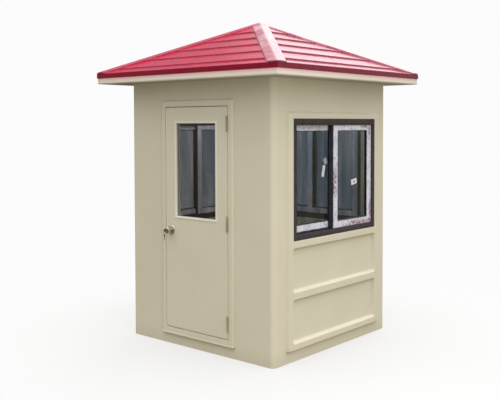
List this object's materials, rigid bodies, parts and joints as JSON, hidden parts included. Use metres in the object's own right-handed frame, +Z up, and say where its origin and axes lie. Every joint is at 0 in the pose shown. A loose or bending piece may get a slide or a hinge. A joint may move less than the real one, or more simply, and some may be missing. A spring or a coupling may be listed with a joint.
{
  "type": "security guard booth",
  "caption": "Square moulded glass-fibre guard booth with a hinged half-glazed door, sliding windows on the other walls and a lapped hip roof.",
  "frame": {"origin": "centre of the square base, on the ground", "axes": "+Z up; the wall with the door faces -Y, and +X points to the right of somebody who faces the door from outside"},
  "size_m": [2.036, 2.036, 2.7603],
  "materials": {
    "cream_grp": "cream gel-coated glass fibre, satin gloss",
    "door_grp": "cream gel-coated glass fibre door skin, satin",
    "bead_plastic": "pale extruded glazing bead",
    "red_grp": "red gel-coated glass fibre, high gloss",
    "dark_aluminium": "dark bronze anodised",
    "protective_film": "milky protective tape left on the sashes",
    "window_glass": "grey tinted float glass",
    "painted_hinge": "steel butt hinge, painted over",
    "satin_nickel": "satin nickel-plated knob set",
    "key_metal": "worn nickel-plated keys",
    "floor_board": "grey floor covering",
    "painted_steel": "dark primer on welded steel"
  },
  "bodies": {
    "booth": {"front_wall_left": "cream_grp", "front_wall_right": "cream_grp", "front_wall_head": "cream_grp", "front_wall_sill": "cream_grp", "right_wall": "cream_grp", "back_wall": "cream_grp", "left_wall": "cream_grp", "corner_front_left": "cream_grp", "corner_front_right": "cream_grp", "corner_back_right": "cream_grp", "corner_back_left": "cream_grp", "door_frame": "cream_grp", "fascia": "cream_grp", "soffit": "cream_grp", "base_frame": "painted_steel", "floor_deck": "floor_board", "right_window_frame": "dark_aluminium", "right_window_outer_sash": "dark_aluminium", "right_window_inner_sash": "dark_aluminium", "right_window_panes": "window_glass", "back_window_frame": "dark_aluminium", "back_window_outer_sash": "dark_aluminium", "back_window_inner_sash": "dark_aluminium", "back_window_panes": "window_glass", "left_window_frame": "dark_aluminium", "left_window_outer_sash": "dark_aluminium", "left_window_inner_sash": "dark_aluminium", "left_window_panes": "window_glass", "roof_front": "red_grp", "roof_right": "red_grp", "roof_back": "red_grp", "roof_left": "red_grp", "hip_front_right": "red_grp", "hip_back_right": "red_grp", "hip_back_left": "red_grp", "hip_front_left": "red_grp", "hinge_frame_leaves": "painted_hinge"},
    "door": {"door_leaf": "door_grp", "door_bead": "bead_plastic", "door_glass": "window_glass", "hinge_door_leaves": "painted_hinge", "knob_roses": "satin_nickel"},
    "knob": {"knob_outer": "satin_nickel", "knob_inner": "satin_nickel", "door_keys": "key_metal"}
  },
  "joints": [
    {"name": "door_swing", "type": "hinge", "parent": "booth", "child": "door", "pos_m": [0.3525, -0.8277, 1.068], "axis": [0, 0, 1], "range_deg": [0, 120]},
    {"name": "knob_turn", "type": "hinge", "parent": "door", "child": "knob", "pos_m": [-0.286, -0.85, 0.972], "axis": [0, 1, 0], "range_deg": [-60, 60], "stiffness_Nm_per_rad": 0.6}
  ]
}
